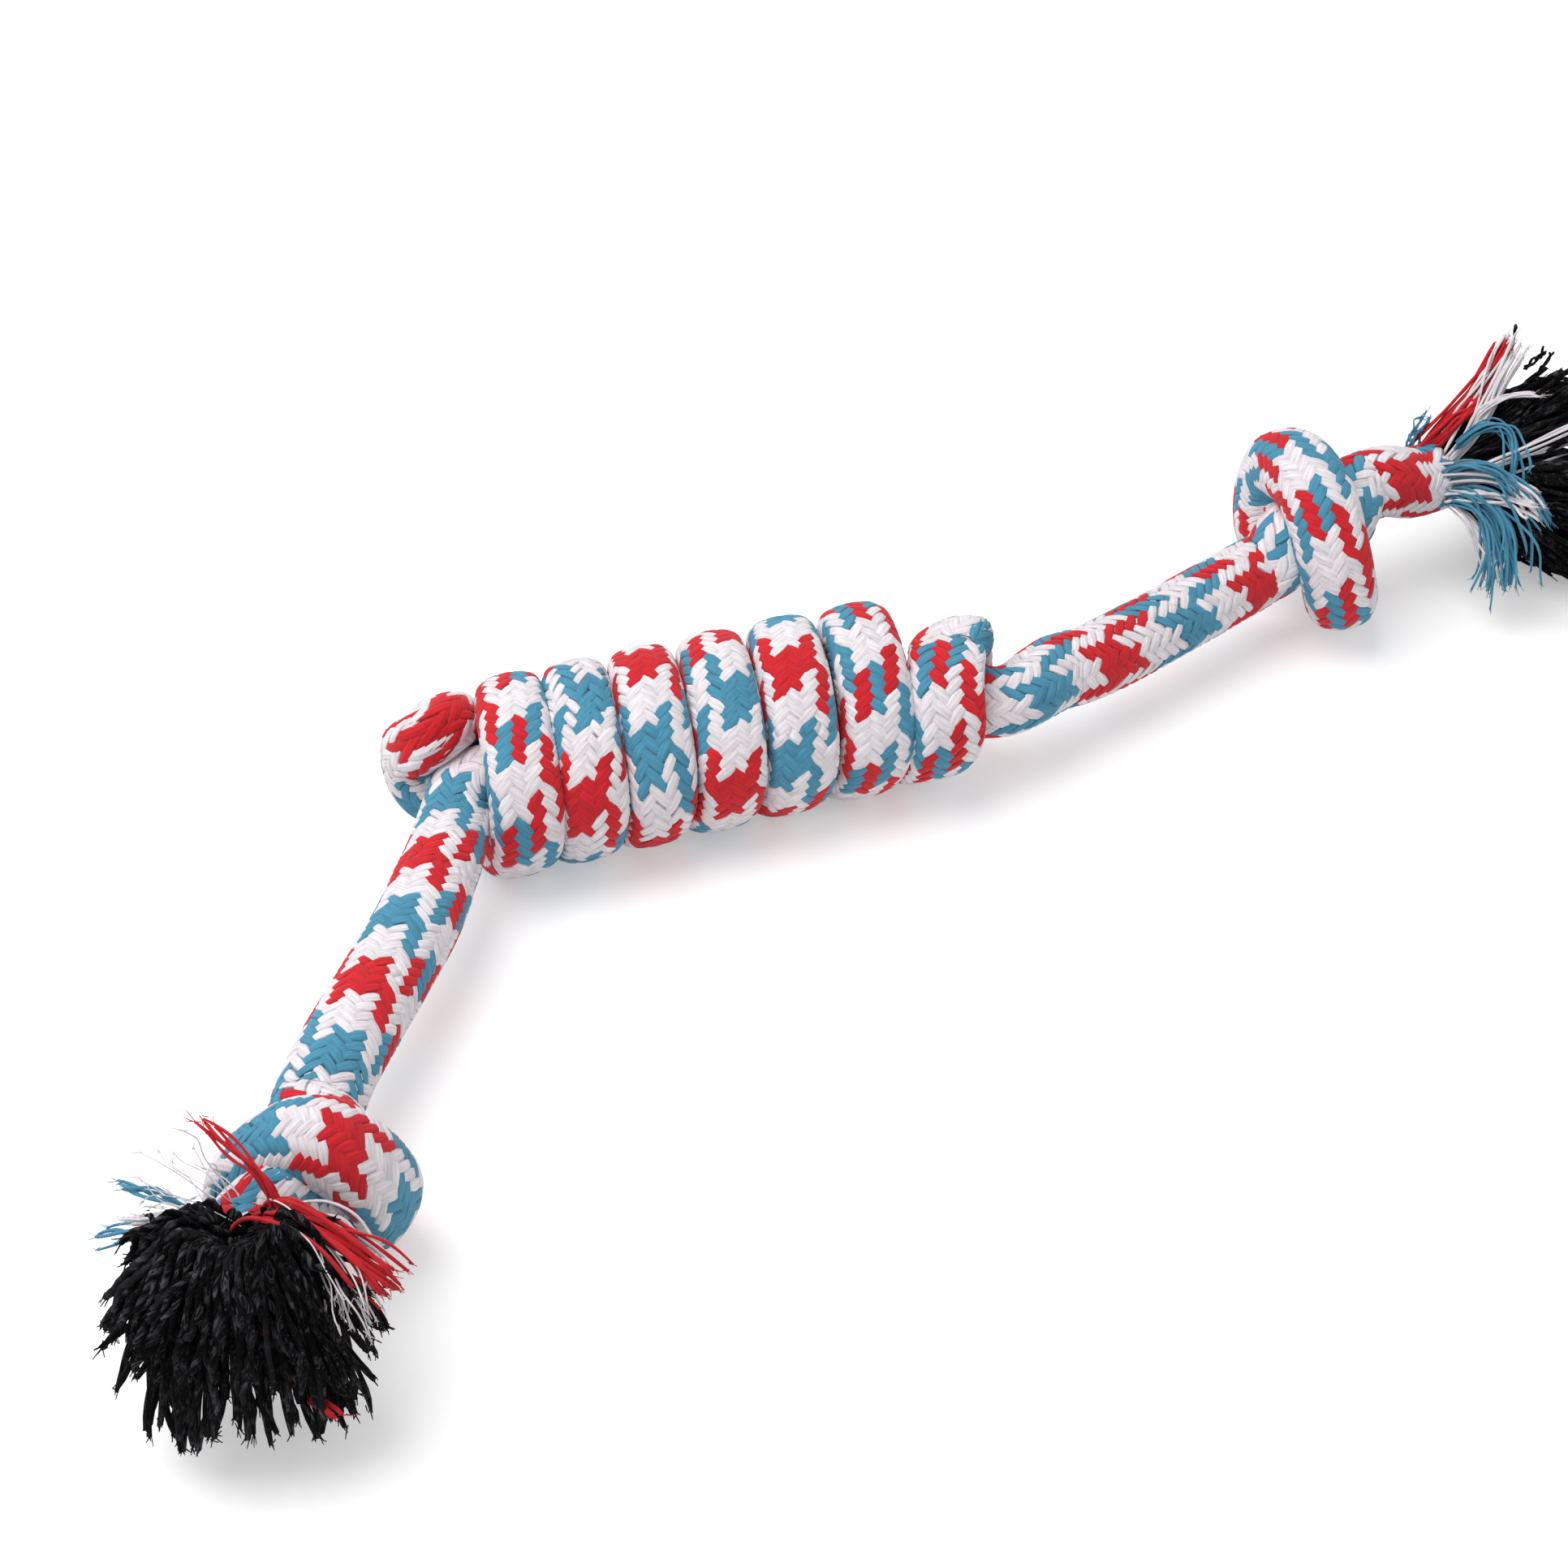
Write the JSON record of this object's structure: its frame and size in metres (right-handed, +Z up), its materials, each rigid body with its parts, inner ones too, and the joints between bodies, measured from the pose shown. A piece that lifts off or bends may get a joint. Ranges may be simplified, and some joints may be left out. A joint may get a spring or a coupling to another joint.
{
  "type": "rope dog toy",
  "caption": "Braided cotton rope dog toy with a coiled barrel-knot handle, an overhand knot on each side and a frayed tassel at each end.",
  "frame": {"origin": "on the floor under the middle turn of the handle, in the middle of the flat that the toy lies on", "axes": "+X along the handle towards its right end, +Z up from the floor, -Y towards the side where the left rope and tassel lie"},
  "size_m": [0.3133, 0.1571, 0.0437],
  "materials": {
    "braided_cotton": "matte braided cotton in red, blue and white",
    "black_cotton": "matte black cotton yarn",
    "red_cotton": "matte red cotton yarn",
    "blue_cotton": "matte blue cotton yarn",
    "white_cotton": "matte white cotton yarn"
  },
  "bodies": {
    "handle": {"handle_winding": "braided_cotton", "handle_entry_strand": "braided_cotton", "handle_exit_strand": "braided_cotton"},
    "left_rope": {"left_span_jacket": "braided_cotton", "left_span_core": "black_cotton"},
    "left_end_knot": {"left_knot": "braided_cotton", "left_tail_jacket": "braided_cotton", "left_tail_core": "black_cotton"},
    "left_tassel": {"left_tassel_black": "black_cotton", "left_tassel_red": "red_cotton", "left_tassel_white": "white_cotton", "left_tassel_blue": "blue_cotton"},
    "right_rope": {"right_span_jacket": "braided_cotton", "right_span_core": "black_cotton"},
    "right_end_knot": {"right_knot": "braided_cotton", "right_tail_jacket": "braided_cotton", "right_tail_core": "black_cotton"},
    "right_tassel": {"right_tassel_black": "black_cotton", "right_tassel_red": "red_cotton", "right_tassel_white": "white_cotton", "right_tassel_blue": "blue_cotton"}
  },
  "joints": [
    {"name": "left_rope_swing", "type": "hinge", "parent": "handle", "child": "left_rope", "pos_m": [-0.05432, -0.02056, 0.01593], "axis": [0, 0, 1], "range_deg": [-45, 40], "deforming": ["left_span_jacket", "left_span_core"]},
    {"name": "left_knot_lift", "type": "hinge", "parent": "left_rope", "child": "left_end_knot", "pos_m": [-0.08173, -0.06251, 0.0148], "axis": [-0.891, 0.454, 0], "range_deg": [-60, 60], "deforming": ["left_span_jacket", "left_span_core"]},
    {"name": "left_tassel_flop", "type": "hinge", "parent": "left_end_knot", "child": "left_tassel", "pos_m": [-0.09486, -0.09288, 0.0246], "axis": [-0.9336, 0.3584, 0], "range_deg": [-30, 25], "deforming": ["left_tail_jacket", "left_tail_core"]},
    {"name": "right_rope_swing", "type": "hinge", "parent": "handle", "child": "right_rope", "pos_m": [0.06453, -0.00273, 0.01648], "axis": [0, 0, 1], "range_deg": [-45, 45], "deforming": ["right_span_jacket", "right_span_core"]},
    {"name": "right_knot_lift", "type": "hinge", "parent": "right_rope", "child": "right_end_knot", "pos_m": [0.11374, 0.01382, 0.01588], "axis": [0.3423, -0.9396, 0], "range_deg": [-60, 60], "deforming": ["right_span_jacket", "right_span_core"]},
    {"name": "right_tassel_flop", "type": "hinge", "parent": "right_end_knot", "child": "right_tassel", "pos_m": [0.15776, 0.02396, 0.02216], "axis": [0.0872, -0.9962, 0], "range_deg": [-30, 25], "deforming": ["right_tail_jacket", "right_tail_core"]}
  ]
}
